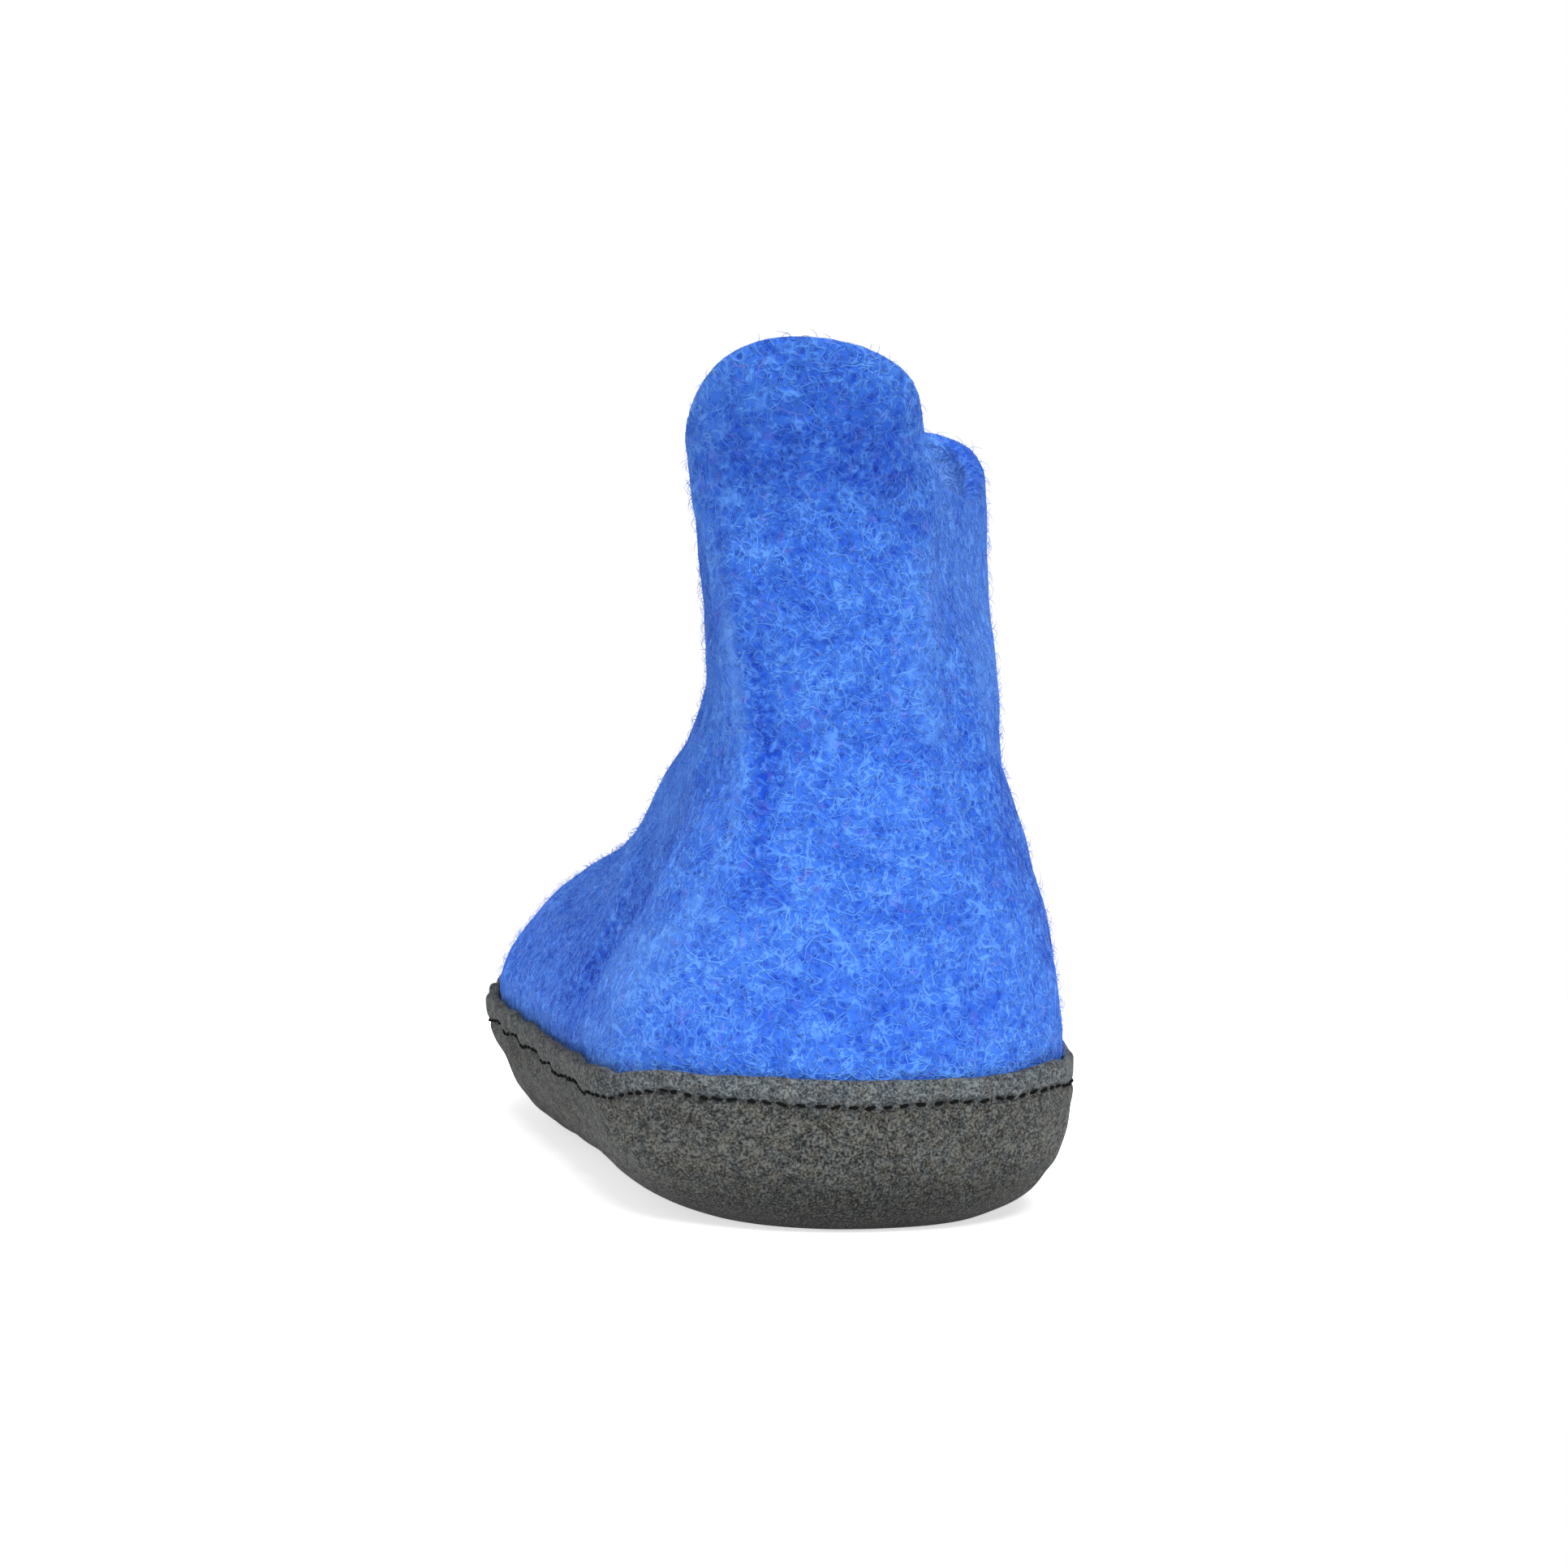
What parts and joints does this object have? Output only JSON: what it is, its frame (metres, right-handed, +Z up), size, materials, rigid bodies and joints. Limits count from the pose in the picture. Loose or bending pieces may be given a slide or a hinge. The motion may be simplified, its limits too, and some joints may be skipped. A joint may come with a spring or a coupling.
{
  "type": "slipper boot",
  "caption": "Ankle-high left slipper boot of thick blue wool felt, its collar high at back and front and dipped at the sides, on a grey suede sole turned up round the foot and stitched to it.",
  "frame": {"origin": "middle of the boot's bounding box at floor level, on the plane that the sole stands on", "axes": "+Z up, +Y from heel to toe, +X to the wearer's right, which is the big-toe side of this left boot"},
  "size_m": [0.1054, 0.2816, 0.1574],
  "materials": {
    "blue_felt": "thick matted wool felt, mottled royal blue with loose pale fibres",
    "grey_suede": "rough grey suede flecked light and dark, with a line of black stitches below its upper edge",
    "insole_felt": "matted wool felt"
  },
  "bodies": {
    "root": {"upper": "blue_felt", "sole": "grey_suede", "insole": "insole_felt"}
  },
  "joints": []
}
